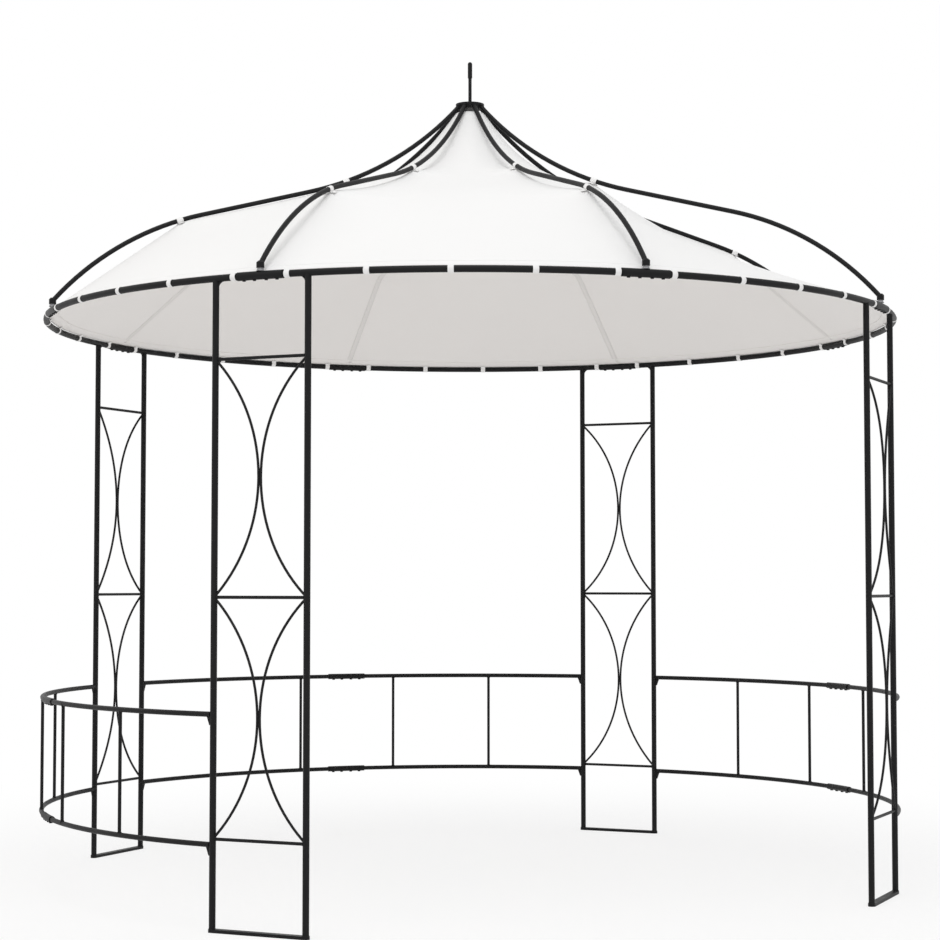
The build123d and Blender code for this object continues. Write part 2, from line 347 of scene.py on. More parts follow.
class GazeboCanopySettings(bpy.types.PropertyGroup):
    """Cloth of the canopy, its seams and its ties."""

    cloth_colour: colour_prop("Cloth Colour", "Colour of the woven cover", (0.945, 0.943, 0.938))
    tape_colour: colour_prop("Tape Colour", "Colour of the ties and the thread", (0.955, 0.95, 0.945))
    lining_colour: colour_prop("Lining Colour", "Coated underside of the cover", (0.945, 0.918, 0.895))
    cloth_thickness: length_prop("Cloth Thickness", "Thickness of the cover", 0.0015)
    neck_hang: length_prop(
        "Neck Hang", "How far the seams hang below the ribs between the hub and the upper ties", 0.034
    )
    tie_hang: length_prop(
        "Tie Hang", "How far the seams hang below the ribs between the upper and the lower ties", 0.020
    )
    slack_hang: length_prop(
        "Slack Hang", "How far the seam without a lower tie hangs below a straight line", 0.070
    )
    fold_depth: length_prop(
        "Fold Depth", "Depth of the folds that run out from the ties on the ribs", 0.0030
    )
    middle_hang: length_prop(
        "Middle Hang", "How far the middle of a gore hangs below the ribs beside it", 0.022
    )
    hem_width: length_prop("Hem Width", "Width of the turned hem along the ring", 0.032)
    seam_width: length_prop("Seam Width", "Width of the tape under each seam", 0.022)
    tape_width: length_prop("Tie Width", "Width of the tapes that tie the cover to the frame", 0.018)
    tape_thickness: length_prop("Tie Thickness", "Thickness of the tapes", 0.0012)
    stitch_pitch: length_prop("Stitch Pitch", "Distance from stitch to stitch", 0.0075)
    columns: IntProperty(name="Columns", description="Faces across one gore", min=8, default=40)
    rows: IntProperty(name="Rows", description="Faces from the neck to the hem", min=20, default=130)


class GazeboStageSettings(bpy.types.PropertyGroup):
    """Floor, light and camera."""

    floor_colour: colour_prop("Floor Colour", "Colour of the studio floor", (0.94, 0.94, 0.94))
    sky_strength: FloatProperty(
        name="Sky Strength", description="Even light from all round", min=0.0, default=0.75
    )
    key_power: FloatProperty(
        name="Key Power", description="Large soft lamp at the upper left", unit="POWER", default=234.0
    )
    side_power: FloatProperty(
        name="Side Power", description="Weak warm lamp from the left", unit="POWER", default=16.0
    )
    camera_azimuth: FloatProperty(
        name="Camera Azimuth",
        description="Where the camera stands round the gazebo",
        subtype="ANGLE",
        default=radians(-20.355),
    )
    camera_distance: length_prop("Camera Distance", "Distance from the gazebo's axis", 7.7546)
    camera_height: length_prop("Camera Height", "Height above the floor", 1.0237)
    camera_pitch: FloatProperty(
        name="Camera Pitch",
        description="How far the camera looks up",
        subtype="ANGLE",
        default=radians(3.0),
    )
    camera_lens: FloatProperty(
        name="Camera Lens", description="Focal length in millimetres on a 36 mm sensor", default=83.44
    )


def give(tree, node, inputs):
    """Set a node's inputs to plain values or link them to sockets."""
    for name, value in inputs.items():
        if isinstance(value, bpy.types.NodeSocket):
            tree.links.new(value, node.inputs[name])
        else:
            node.inputs[name].default_value = value


def add_node(tree, kind, inputs=None, **settings):
    """Outputs of a new node with its settings and inputs."""
    node = tree.nodes.new(kind)
    for name, value in settings.items():
        setattr(node, name, value)
    give(tree, node, inputs or {})
    return node.outputs


def flow(tree, kind, inputs=None, **settings):
    """First output of a new node with its settings and inputs."""
    return add_node(tree, kind, inputs, **settings)[0]


def calc(tree, operation, *values):
    """Result of one operation on plain numbers and sockets."""
    return flow(tree, "ShaderNodeMath", dict(enumerate(values)), operation=operation)


def scaled(tree, vector, factor):
    """A vector or colour times a factor."""
    return flow(tree, "ShaderNodeVectorMath", {0: vector, "Scale": factor}, operation="SCALE")


def vector_of(tree, x=0.0, y=0.0, z=0.0):
    """Vector from numbers or sockets."""
    return flow(tree, "ShaderNodeCombineXYZ", {"X": x, "Y": y, "Z": z})


def shader_group(name, sockets_in, sockets_out):
    """Empty shader group with named inputs, their values, and named outputs of given types."""
    group = bpy.data.node_groups.new(name, "ShaderNodeTree")
    for label, kind, value in sockets_in:
        socket = group.interface.new_socket(label, in_out="INPUT", socket_type=kind)
        socket.default_value = value
    for label, kind in sockets_out:
        group.interface.new_socket(label, in_out="OUTPUT", socket_type=kind)
    return group, group.nodes.new("NodeGroupInput").outputs, group.nodes.new("NodeGroupOutput")


def mottle_group():
    """Fine grain and slow variation that every finish here shares."""
    group, given, result = shader_group(
        "Mottle",
        [
            ("Vector", "NodeSocketVector", (0.0, 0.0, 0.0)),
            ("Grain Scale", "NodeSocketFloat", 700.0),
            ("Patch Scale", "NodeSocketFloat", 4.0),
            ("Low", "NodeSocketFloat", 0.4),
            ("High", "NodeSocketFloat", 0.6),
            ("Colour A", "NodeSocketColor", (0.0, 0.0, 0.0, 1.0)),
            ("Colour B", "NodeSocketColor", (0.0, 0.0, 0.0, 1.0)),
        ],
        [("Colour", "NodeSocketColor"), ("Roughness", "NodeSocketFloat"), ("Grain", "NodeSocketFloat")],
    )
    clouds = []
    for scale, detail in (("Grain Scale", 2.0), ("Patch Scale", 3.0)):
        inputs = {"Vector": given["Vector"], "Scale": given[scale], "Detail": detail}
        clouds.append(flow(group, "ShaderNodeTexNoise", inputs))
    grain, patch = clouds
    tints = {"Factor": calc(group, "MULTIPLY_ADD", patch, grain, 0.12)}
    tints |= {6: given["Colour A"], 7: given["Colour B"]}
    colour = add_node(group, "ShaderNodeMix", tints, data_type="RGBA")[2]
    levels = {"Value": patch, "From Min": 0.3, "From Max": 0.7}
    levels |= {"To Min": given["Low"], "To Max": given["High"]}
    rough = flow(group, "ShaderNodeMapRange", levels)
    give(group, result, {"Colour": colour, "Roughness": rough, "Grain": grain})
    return group


def weave_group():
    """Plain weave: threads over and under, from the cloth's own map in metres."""
    group, given, result = shader_group(
        "Plain Weave",
        [("Vector", "NodeSocketVector", (0.0, 0.0, 0.0)), ("Threads", "NodeSocketFloat", 900.0)],
        [("Height", "NodeSocketFloat"), ("Shade", "NodeSocketFloat")],
    )
    count = scaled(group, given["Vector"], given["Threads"])
    parts = add_node(group, "ShaderNodeSeparateXYZ", {"Vector": count})
    waves = [calc(group, "SINE", calc(group, "MULTIPLY", parts[axis], pi)) for axis in ("X", "Y")]
    crossing = calc(group, "MULTIPLY", *waves)
    give(group, result, {"Height": calc(group, "ABSOLUTE", crossing), "Shade": crossing})
    return group


def shared_group(name, make):
    """The named shader group, built on its first use."""
    return bpy.data.node_groups.get(name) or make()


def new_material(name):
    """Node material with its tree, its Principled shader and the object's coordinates."""
    material = bpy.data.materials.new(name)
    material.use_nodes = True
    tree = material.node_tree
    return material, tree, tree.nodes["Principled BSDF"], add_node(tree, "ShaderNodeTexCoord")["Object"]


def shaded(colour, factor):
    """A colour made darker or lighter by a factor."""
    return tuple(min(1.0, channel * factor) for channel in colour)


def mottled(tree, place, colour, shades, roughness, grain_scale, patch_scale):
    """Outputs of the shared mottle, placed in a material with that material's own values."""
    inputs = {
        "Vector": place,
        "Colour A": (*shaded(colour, shades[0]), 1.0),
        "Colour B": (*shaded(colour, shades[1]), 1.0),
        "Low": roughness[0],
        "High": roughness[1],
        "Grain Scale": grain_scale,
        "Patch Scale": patch_scale,
    }
    return add_node(tree, "ShaderNodeGroup", inputs, node_tree=shared_group("Mottle", mottle_group))


def bump(tree, height, strength, distance):
    """Normal bent by a height."""
    inputs = {"Height": height, "Strength": strength, "Distance": distance}
    return flow(tree, "ShaderNodeBump", inputs)


def powder_coat(name):
    """Black satin powder coat with a fine orange peel."""
    settings = bpy.context.scene.gazebo_frame
    material, tree, shader, place = new_material(name)
    rough = [settings.coat_roughness + spread for spread in COAT_ROUGHNESS_SPREAD]
    coat = mottled(tree, place, settings.coat_colour, COAT_SHADES, rough, grain_scale=420.0, patch_scale=5.0)
    inputs = {
        "Base Color": coat["Colour"],
        "Roughness": coat["Roughness"],
        "Specular IOR Level": 0.14,
        "Normal": bump(tree, coat["Grain"], strength=0.06, distance=0.0004),
    }
    give(tree, shader, inputs)
    return material


def plated_zinc(name):
    """Bright zinc plating of the nuts and washers."""
    colour = bpy.context.scene.gazebo_frame.zinc_colour
    material, tree, shader, place = new_material(name)
    zinc = mottled(tree, place, colour, ZINC_SHADES, ZINC_ROUGHNESS, grain_scale=900.0, patch_scale=60.0)
    inputs = {
        "Base Color": zinc["Colour"],
        "Roughness": zinc["Roughness"],
        "Metallic": 0.85,
        "Normal": bump(tree, zinc["Grain"], strength=0.1, distance=0.0003),
    }
    give(tree, shader, inputs)
    return material


def woven(name):
    """Woven polyester: plain weave from the cloth's own map, with slow patches."""
    setting, factor, threads, contrast, strength = CLOTHS[name]
    # The factor is 1 for every cloth but the seam tape, whose colour it darkens as painted shade
    colour = shaded(getattr(bpy.context.scene.gazebo_canopy, setting), factor)
    material, tree, shader, place = new_material(name)
    chart = {"Vector": flow(tree, "ShaderNodeUVMap", uv_map="cloth"), "Threads": threads}
    group = shared_group("Plain Weave", weave_group)
    weave = add_node(tree, "ShaderNodeGroup", chart, node_tree=group)
    cloth = mottled(tree, place, colour, CLOTH_SHADES, CLOTH_ROUGHNESS, grain_scale=300.0, patch_scale=2.2)
    levels = {"Value": weave["Shade"], "From Min": -1.0, "To Min": 1.0 - contrast}
    inputs = {
        "Base Color": scaled(tree, cloth["Colour"], flow(tree, "ShaderNodeMapRange", levels)),
        "Roughness": cloth["Roughness"],
        "Specular IOR Level": 0.25,
        "Sheen Weight": 0.08,
        "Sheen Roughness": 0.6,
        "Normal": bump(tree, weave["Height"], strength, distance=0.0004),
    }
    give(tree, shader, inputs)
    return material


def finish(name, make):
    """The named material, built on its first use."""
    return bpy.data.materials.get(name) or make(name)


def place_piece(name, mesh, material):
    """Link a finished mesh as a piece of the gazebo that rides with its frame."""
    piece = bpy.data.objects.new(name, mesh)
    bpy.context.scene.collection.objects.link(piece)
    mesh.materials.clear()
    mesh.materials.append(material)
    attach(piece, "root")
    return piece


def grow_tree(name, lengths, vectors=()):
    """Geometry tree with a geometry input, named sizes and a material."""
    tree = bpy.data.node_groups.new(name, "GeometryNodeTree")
    tree.interface.new_socket("Geometry", in_out="INPUT", socket_type="NodeSocketGeometry")
    for label in lengths:
        socket = tree.interface.new_socket(label, in_out="INPUT", socket_type="NodeSocketFloat")
        socket.subtype = "DISTANCE"
    for label in vectors:
        tree.interface.new_socket(label, in_out="INPUT", socket_type="NodeSocketVector")
    tree.interface.new_socket("Material", in_out="INPUT", socket_type="NodeSocketMaterial")
    tree.interface.new_socket("Geometry", in_out="OUTPUT", socket_type="NodeSocketGeometry")
    return tree, tree.nodes.new("NodeGroupInput").outputs


def end_tree(tree, given, instances, smooth):
    """Realize the instances and give them the material."""
    real = flow(tree, "GeometryNodeRealizeInstances", {"Geometry": instances})
    shade = flow(tree, "GeometryNodeSetShadeSmooth", {"Geometry": real, "Shade Smooth": smooth})
    paint = flow(tree, "GeometryNodeSetMaterial", {"Geometry": shade, "Material": given["Material"]})
    give(tree, tree.nodes.new("NodeGroupOutput"), {"Geometry": paint})
    return tree


def attribute(tree, name, kind):
    """A point's own value by its name."""
    return flow(tree, "GeometryNodeInputNamedAttribute", {"Name": name}, data_type=kind)


def on_points(tree, given, geometry):
    """One copy on each point, with Z along the point's own axis and Y towards its own up."""
    align = "FunctionNodeAlignRotationToVector"
    axis = attribute(tree, "axis", "FLOAT_VECTOR")
    first = flow(tree, align, {"Vector": axis}, axis="Z")
    up = attribute(tree, "up", "FLOAT_VECTOR")
    turned = flow(tree, align, {"Rotation": first, "Vector": up}, axis="Y", pivot_axis="Z")
    inputs = {"Points": given["Geometry"], "Instance": geometry, "Rotation": turned}
    return flow(tree, "GeometryNodeInstanceOnPoints", inputs)


def joined(tree, *parts):
    """Several geometries as one."""
    node = tree.nodes.new("GeometryNodeJoinGeometry")
    for part in parts:
        tree.links.new(part, node.inputs[0])
    return node.outputs[0]


def circle(tree, radius, resolution):
    """Round curve."""
    return flow(tree, "GeometryNodeCurvePrimitiveCircle", {"Radius": radius, "Resolution": resolution})


def tie_tree():
    """A tape looped round a tube, with a tail that lies against the cover."""
    tree, given = grow_tree(
        "Tape Tie",
        ["Loop Radius", "Tape Width", "Tape Thickness"],
        ["Tail Start", "Tail Middle", "Tail End"],
    )
    loop = circle(tree, given["Loop Radius"], resolution=28)
    knots = {name: given["Tail " + name] for name in ("Start", "Middle", "End")}
    tail = flow(tree, "GeometryNodeCurveQuadraticBezier", {"Resolution": 12, **knots})
    oblong = {"Width": given["Tape Thickness"], "Height": given["Tape Width"]}
    flat = flow(tree, "GeometryNodeCurvePrimitiveQuadrilateral", oblong)
    corner = calc(tree, "MULTIPLY", given["Tape Thickness"], TAPE_ROUNDING)
    section = flow(tree, "GeometryNodeFilletCurve", {"Curve": flat, "Radius": corner})
    tapes = []
    for path in (loop, tail):
        level = flow(tree, "GeometryNodeSetCurveNormal", {"Curve": path}, mode="Z_UP")
        sweep = {"Curve": level, "Profile Curve": section, "Fill Caps": True}
        tapes.append(flow(tree, "GeometryNodeCurveToMesh", sweep))
    return end_tree(tree, given, on_points(tree, given, joined(tree, *tapes)), smooth=True)


def screw_tree():
    """A hexagon head on a round flange, standing along the point's axis."""
    tree, given = grow_tree("Hexagon Head", ["Width", "Height", "Flange Radius", "Flange Thickness"])

    def disc(radius, taper, depth, sides):
        inputs = {"Vertices": sides, "Depth": depth, "Radius Bottom": radius}
        inputs["Radius Top"] = calc(tree, "MULTIPLY", radius, taper)
        return flow(tree, "GeometryNodeMeshCone", inputs)

    corner = calc(tree, "MULTIPLY", given["Width"], 1 / 3**0.5)
    head = disc(corner, HEAD_TAPER, given["Height"], sides=6)
    flange = disc(given["Flange Radius"], FLANGE_TAPER, given["Flange Thickness"], sides=20)
    lift = vector_of(tree, z=given["Flange Thickness"])
    raised = flow(tree, "GeometryNodeTransform", {"Geometry": head, "Translation": lift})
    return end_tree(tree, given, on_points(tree, given, joined(tree, raised, flange)), smooth=False)


def bead_tree():
    """A weld bead round a bar, square to the point's axis."""
    tree, given = grow_tree("Weld Bead", ["Bead Radius"])
    bar = attribute(tree, "size", "FLOAT")
    rings = on_points(tree, given, circle(tree, 1.0, resolution=18))
    size = vector_of(tree, bar, bar, bar)
    grown = flow(tree, "GeometryNodeScaleInstances", {"Instances": rings, "Scale": size})
    loose = flow(tree, "GeometryNodeRealizeInstances", {"Geometry": grown})
    section = circle(tree, given["Bead Radius"], resolution=7)
    swept = flow(tree, "GeometryNodeCurveToMesh", {"Curve": loose, "Profile Curve": section})
    return end_tree(tree, given, swept, smooth=True)


def stitch_tree():
    """Stitches at an even pitch along lines."""
    tree, given = grow_tree("Stitch Row", ["Pitch", "Length", "Thickness", "Depth"])
    line = flow(tree, "GeometryNodeMeshToCurve", {"Mesh": given["Geometry"]})
    spacing = {"Curve": line, "Length": given["Pitch"]}
    places = add_node(tree, "GeometryNodeCurveToPoints", spacing, mode="LENGTH")
    seed = flow(tree, "GeometryNodeMeshIcoSphere", {"Radius": 0.5, "Subdivisions": 1})
    size = vector_of(tree, given["Depth"], given["Thickness"], given["Length"])
    stitch = flow(tree, "GeometryNodeTransform", {"Geometry": seed, "Scale": size})
    inputs = {"Points": places["Points"], "Instance": stitch, "Rotation": places["Rotation"]}
    return end_tree(tree, given, flow(tree, "GeometryNodeInstanceOnPoints", inputs), smooth=True)


def as_mesh(host):
    """Plain mesh of an object as it is evaluated; the object itself is removed."""
    bpy.context.scene.collection.objects.link(host)
    bpy.context.view_layer.update()
    depsgraph = bpy.context.evaluated_depsgraph_get()
    mesh = bpy.data.meshes.new_from_object(host.evaluated_get(depsgraph))
    if not mesh.polygons:
        raise RuntimeError(host.name + " came out empty")
    bpy.data.objects.remove(host)
    return mesh


def grow(name, tree, points, sizes, material, slot, edges=(), **attributes):
    """Run a tree on points or lines and keep its result as a plain mesh."""
    host_mesh = bpy.data.meshes.new(name + "_points")
    host_mesh.from_pydata([tuple(point) for point in points], list(edges), [])
    for label, values in attributes.items():
        scalar = isinstance(values[0], float)
        stored = host_mesh.attributes.new(label, "FLOAT" if scalar else "FLOAT_VECTOR", "POINT")
        for item, value in zip(stored.data, values):
            setattr(item, "value" if scalar else "vector", value)
    host = bpy.data.objects.new(name + "_points", host_mesh)
    modifier = host.modifiers.new(tree.name, "NODES")
    modifier.node_group = tree
    values = {**sizes, "Material": material}
    for item in tree.interface.items_tree:
        if item.in_out == "INPUT" and item.name in values:
            modifier[item.identifier] = values[item.name]
    mesh = as_mesh(host)
    mesh.name = name
    return place_piece(name, mesh, material)


def face_chart(mesh):
    """Give a tape or thread a flat map in metres from its own faces."""
    chart = mesh.uv_layers.new(name="cloth")
    for polygon in mesh.polygons:
        side = polygon.normal.orthogonal().normalized()
        across = polygon.normal.cross(side)
        for loop in polygon.loop_indices:
            place = mesh.vertices[mesh.loops[loop].vertex_index].co
            chart.data[loop].uv = (place.dot(side), place.dot(across))


def seam_hang(reach, seam):
    """How far a seam hangs below its rib between its ties."""
    settings = bpy.context.scene.gazebo_canopy
    upper = UPPER_REACHES[seam]
    if reach < upper:
        return settings.neck_hang * sin(pi * (reach / upper) ** NECK_LEAN)
    if reach < TIE_REACH and seam != SLACK_SEAM:
        share = (reach - upper) / (TIE_REACH - upper)
        return settings.tie_hang * HANG_SHARES[seam] * sin(pi * share)
    return 0.0


def middle_hang(reach):
    """How far the middle of a gore hangs: an even curve that takes no notice of the ties."""
    fall = 1 - exp(-reach / NECK_FALL)
    fade = 1 / (1 + exp((reach - TIE_REACH) / TIE_RISE))
    return bpy.context.scene.gazebo_canopy.middle_hang * fall * fade


def hung_point(reach, seam, hang):
    """Radius and height of a line down the cover, a hang below the taut one at a seam."""
    slack = seam == SLACK_SEAM
    held = UPPER_TIES[seam] if slack else LOWER_TIE
    if reach < held - NECK_GAP:
        return rib_line.below(NECK_GAP + reach, CLOTH_DROP + hang)
    share = (reach + NECK_GAP - held) / (CLOTH_REACH + NECK_GAP - held)
    point = rib_line.below(held, CLOTH_DROP + hang).lerp(HEM_POINT, share)
    if slack:
        point.y -= bpy.context.scene.gazebo_canopy.slack_hang * sin(pi * share**SLACK_LEAN)
    return point


def middle_point(reach, seam):
    """Radius and height of the even line in a gore's middle, with the bend at the tie rounded."""
    bend = UPPER_REACHES[seam] if seam == SLACK_SEAM else TIE_REACH
    if abs(reach - bend) >= BEND_WINDOW:
        return hung_point(reach, seam, middle_hang(reach))
    share = (reach - bend + BEND_WINDOW) / (2 * BEND_WINDOW)
    places = (bend - BEND_WINDOW, bend, bend + BEND_WINDOW)
    before, corner, after = (hung_point(place, seam, middle_hang(place)) for place in places)
    return before * (1 - share) ** 2 + corner * 2 * share * (1 - share) + after * share**2


def tie_folds(gore, across, reach, radius):
    """Height of the folds that run out from the ties at both edges of a gore."""
    depth = bpy.context.scene.gazebo_canopy.fold_depth
    height = 0.0
    for edge in (-1, 1):
        seam = (gore + (1 + edge) // 2) % RIBS
        for tie_reach in (UPPER_REACHES[seam], TIE_REACH):
            if seam == SLACK_SEAM and tie_reach == TIE_REACH:
                continue
            aside = (1 - edge * across) * radius * tan(HALF_GORE)
            along = reach - tie_reach
            away = (aside * aside + along * along) ** 0.5 / FOLD_REACH
            if away < FOLD_END:
                turn = atan2(aside, along)
                wave = sin(FOLD_COUNT * turn + FOLD_TURN * seam) * sin(turn)
                height += depth * wave * away * exp(1 - away)
    return height


def hem_scallop(offset):
    """Share of the way between two neighbouring ties, as a bow of 0 to 1, and their spacing."""
    ties = (RING_TIE_ANGLES[-1] - GORE_ANGLE, *RING_TIE_ANGLES, RING_TIE_ANGLES[0] + GORE_ANGLE)
    for low, high in zip(ties, ties[1:]):
        if low <= offset <= high:
            share = (offset - low) / (high - low)
            return 4 * share * (1 - share), high - low
    raise ValueError("an azimuth outside its gore")


def cloth_point(azimuth, reach):
    """Point on the top of the cover at an azimuth and a distance down from the neck."""
    gore = int(azimuth // GORE_ANGLE)
    offset = azimuth - gore * GORE_ANGLE
    turn = radians(offset - GORE_ANGLE / 2)
    across = tan(turn) / tan(HALF_GORE)
    middle = 1 - abs(across) ** GORE_FLATNESS
    edges = []
    for number in (gore, gore + 1):
        seam = number % RIBS
        line = hung_point(reach, seam, seam_hang(reach, seam)).lerp(middle_point(reach, seam), middle)
        edges.append(polar(number * GORE_ANGLE, *line))
    point = edges[0].lerp(edges[1], (1 + across) / 2)
    skirt = max(0.0, (reach - TIE_REACH) / (CLOTH_REACH - TIE_REACH))
    swell = 1 + skirt * (cos(turn) / cos(HALF_GORE) - 1)
    point = Vector((point.x * swell, point.y * swell, point.z))
    bow, spacing = hem_scallop(offset)
    near_hem = exp((reach - CLOTH_REACH) / SCALLOP_FADE)
    pull = SCALLOP_DEPTH * RING_RADIUS * (1 - cos(radians(spacing / 2))) * bow * near_hem
    ripple = RIPPLE_HEIGHT * (bow - 0.5) * exp((reach - CLOTH_REACH) / RIPPLE_FADE) * (1 - near_hem)
    drift = DRIFT_HEIGHT * middle * noise.noise(point * DRIFT_SCALE) * (1 - near_hem)
    point -= radial(azimuth) * pull
    point.z += pull * SCALLOP_RISE + ripple + drift + tie_folds(gore, across, reach, point.xy.length)
    return point


def cloth_normal(azimuth, reach):
    """Unit normal of the cover, pointing out and up."""
    turn = degrees(NORMAL_STEP / max(LEAST_RADIUS, cloth_point(azimuth, reach).xy.length))
    along = cloth_point(azimuth + turn, reach) - cloth_point(azimuth - turn, reach)
    low = max(0.0, reach - NORMAL_STEP)
    high = min(CLOTH_REACH, reach + NORMAL_STEP)
    down = cloth_point(azimuth, high) - cloth_point(azimuth, low)
    return down.cross(along).normalized()


def off_cloth(azimuth, reach, lift):
    """Point lifted off the top of the cover along its normal."""
    return cloth_point(azimuth, reach) + cloth_normal(azimuth, reach) * lift


def beside_seam(seam, reach, aside):
    """Azimuth at a distance to one side of a seam."""
    azimuth = seam * GORE_ANGLE
    return azimuth + degrees(aside / cloth_point(azimuth, reach).xy.length)


def strip_chart(grid, row, column, corner_row, corner_column):
    """Place of a face's corner on a strip's flat map in metres."""
    here = grid[row][column]
    width = (grid[row][(column + 1) % len(grid[0])] - here).length
    height = (grid[(row + 1) % len(grid)][column] - here).length
    return corner_column * width, corner_row * height


def grid_mesh(name, grids, chart=strip_chart, join_rows=False, join_columns=False):
    """Mesh of grids of points with a flat map; joined rows or columns close into a round."""
    mesh = bpy.data.meshes.new(name)
    build = bmesh.new()
    layer = build.loops.layers.uv.new("cloth")
    for grid in grids:
        made = [[build.verts.new(point) for point in line] for line in grid]
        rows, columns = len(grid), len(grid[0])
        for row in range(rows if join_rows else rows - 1):
            for column in range(columns if join_columns else columns - 1):
                corners = [(row, column), (row + 1, column), (row + 1, column + 1), (row, column + 1)]
                face = build.faces.new([made[r % rows][c % columns] for r, c in corners])
                face.smooth = True
                for loop, corner in zip(face.loops, corners):
                    loop[layer].uv = chart(grid, row, column, *corner)
    build.to_mesh(mesh)
    build.free()
    return mesh


def thicken(piece, thickness, lining=None):
    """Give a sheet its thickness, downwards from its top, and its underside a lining."""
    solid = piece.modifiers.new("thickness", "SOLIDIFY")
    solid.thickness = thickness
    solid.offset = -1.0
    if lining is not None:
        piece.data.materials.append(lining)
        solid.material_offset = 1


def bar_mesh(name, bars):
    """Mesh of round bars, each a line of points and a radius."""
    curve = bpy.data.curves.new(name, "CURVE")
    curve.dimensions = "3D"
    curve.bevel_depth = 1.0
    curve.bevel_resolution = BAR_ROUNDNESS
    curve.use_fill_caps = True
    for points, radius in bars:
        line = curve.splines.new("POLY")
        line.points.add(len(points) - 1)
        for knot, point in zip(line.points, points):
            knot.co = (*point, 1.0)
            knot.radius = radius
    mesh = as_mesh(bpy.data.objects.new(name, curve))
    for polygon in mesh.polygons:
        polygon.use_smooth = len(polygon.vertices) == 4
    return mesh


class GAZEBO_OT_coat_frame(bpy.types.Operator):
    """Powder coat every tube and bar of the frame"""

    bl_idname = "gazebo.coat_frame"
    bl_label = "Coat Frame"

    def execute(self, context):
        coat = finish("black_powder_coat", powder_coat)
        for name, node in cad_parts.items():
            if name != "canopy":
                node.data.materials.clear()
                node.data.materials.append(coat)
        return {"FINISHED"}


class GAZEBO_OT_weld_pillars(bpy.types.Operator):
    """Weld the lattice pillars, with bows that bulge outwards between the posts"""

    bl_idname = "gazebo.weld_pillars"
    bl_label = "Weld Pillars"

    def execute(self, context):
        coat = finish("black_powder_coat", powder_coat)
        for azimuth, (name, bulge) in zip(PILLAR_AZIMUTHS, BOW_BULGES.items()):
            mesh = self.pillar_mesh("lattice_" + name, azimuth, bulge)
            lattice = place_piece("lattice_" + name, mesh, coat)
            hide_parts("pillar_" + name)
        return {"FINISHED"}

    def pillar_mesh(self, name, azimuth, bulge):
        """Posts, cross bars, bows and foot of the pillar at an azimuth."""

        def place(side, height, forward=0.0):
            return tangent(azimuth) * side + polar(azimuth, PANEL_DISTANCE + forward, height)

        half = PANEL_WIDTH / 2
        bars = []
        for side in (-1, 1):
            post = [place(side * half, height) for height in (FOOT_BAR_THICKNESS / 2, POST_TOP)]
            bars.append((post, POST_RADIUS))
            for high, low in zip(CROSS_BAR_HEIGHTS, CROSS_BAR_HEIGHTS[1:]):
                line = self.bow_line(high, low)
                bow = [place(side * inset, z, bulge * (1 - (inset / half) ** 2)) for inset, z in line]
                bars.append((bow, BOW_RADIUS))
        for height in CROSS_BAR_HEIGHTS:
            bars.append(([place(-half, height), place(half, height)], CROSS_BAR_RADIUS))
        build = bmesh.new()
        build.from_mesh(bar_mesh(name + "_bars", bars))
        outline = []
        for side in (-1, 1):
            for step in range(FOOT_END_STEPS + 1):
                turn = pi * step / FOOT_END_STEPS - pi / 2
                end = side * (half + FOOT_BAR_WIDTH / 2 * cos(turn))
                outline.append(place(end, 0.0, side * FOOT_BAR_WIDTH / 2 * sin(turn)))
        sole = build.faces.new([build.verts.new(point) for point in outline])
        raised = bmesh.ops.extrude_face_region(build, geom=[sole])["geom"]
        top = [item for item in raised if isinstance(item, bmesh.types.BMVert)]
        bmesh.ops.translate(build, verts=top, vec=UP * FOOT_BAR_THICKNESS)
        bmesh.ops.recalc_face_normals(build, faces=build.faces)
        mesh = bpy.data.meshes.new(name)
        build.to_mesh(mesh)
        build.free()
        return mesh

    def bow_line(self, high, low):
        """Distances from the panel's middle and heights along a bow between two cross bars."""
        reach = PANEL_WIDTH / 2 - BOW_RADIUS
        half = (high - low) / 2
        radius = (half**2 + reach**2) / (2 * reach)
        spread = asin(half / radius)
        turns = [spread * step / BOW_STEPS for step in range(-BOW_STEPS, BOW_STEPS + 1)]
        return [(BOW_RADIUS + radius * (1 - cos(t)), (high + low) / 2 + radius * sin(t)) for t in turns]


